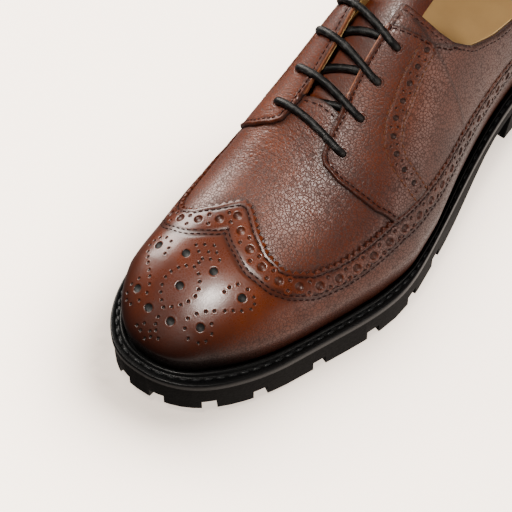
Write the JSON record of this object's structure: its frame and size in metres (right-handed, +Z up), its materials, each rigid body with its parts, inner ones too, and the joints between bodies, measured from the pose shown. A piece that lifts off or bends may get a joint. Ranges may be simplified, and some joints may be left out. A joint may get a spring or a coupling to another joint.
{
  "type": "brogue shoe",
  "caption": "Left longwing brogue shoe in brown leather with open lacing, a storm welt and a black lugged rubber sole.",
  "frame": {"origin": "centre of the shoe's bounding box in plan, on the floor under its sole", "axes": "+Z up, +Y from toe to heel, +X towards the outer side of the left foot"},
  "size_m": [0.1124, 0.304, 0.1237],
  "materials": {
    "brown_leather": "pebbled grain, burnished and polished at the toe",
    "tongue_leather": "pebbled grain",
    "tan_insole": "smooth",
    "black_rubber": "matt",
    "black_heel_rubber": "matt",
    "black_welt": "satin",
    "black_lace": "waxed"
  },
  "bodies": {
    "root": {"outsole": "black_rubber", "heel": "black_heel_rubber", "welt": "black_welt", "upper": "brown_leather", "tongue": "tongue_leather", "insole": "tan_insole", "lace": "black_lace"}
  },
  "joints": []
}
